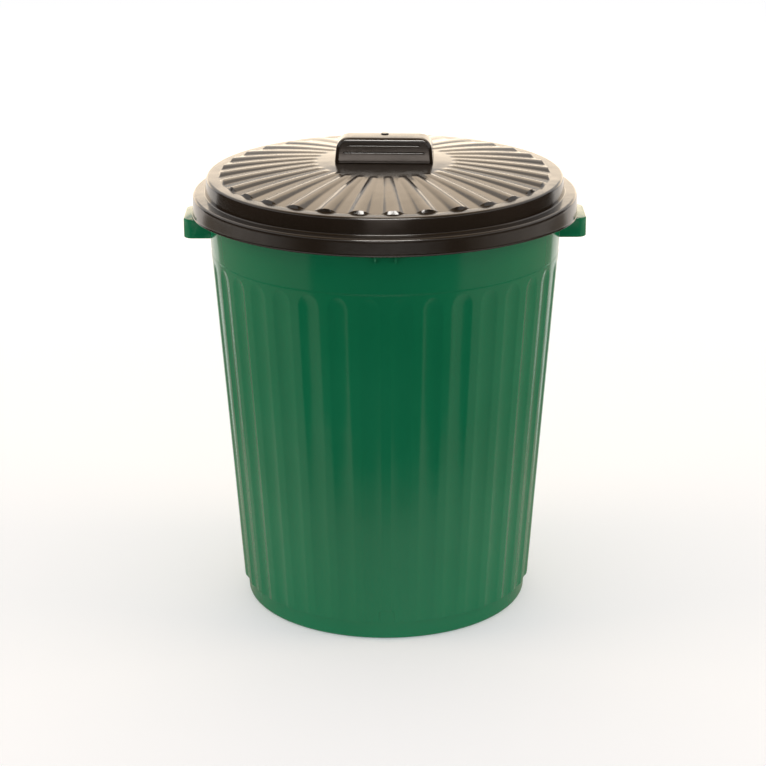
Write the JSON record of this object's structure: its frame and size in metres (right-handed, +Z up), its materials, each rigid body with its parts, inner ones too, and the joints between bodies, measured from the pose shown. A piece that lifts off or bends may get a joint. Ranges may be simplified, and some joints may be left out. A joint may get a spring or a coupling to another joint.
{
  "type": "round plastic refuse bin with lid",
  "caption": "Round tapered refuse bin with fluted walls, a carrying handle on each side and a domed lift-off lid with radial ridges and a grip.",
  "frame": {"origin": "middle of the foot ring, on the floor that the bin stands on", "axes": "+Z up; the two side handles lie on the X axis, and -Y is the front"},
  "size_m": [0.5302, 0.51, 0.6384],
  "materials": {
    "bin_plastic": "glossy green moulded plastic",
    "lid_plastic": "semi-gloss black moulded plastic"
  },
  "bodies": {
    "bin": {"bin_body": "bin_plastic", "side_handle_right": "bin_plastic", "side_handle_left": "bin_plastic"},
    "lid": {"lid": "lid_plastic", "lid_grip": "lid_plastic"}
  },
  "joints": [
    {"name": "lid_lift", "type": "slide", "parent": "bin", "child": "lid", "axis": [0, 0, 1], "range_m": [0, 0.25]}
  ]
}
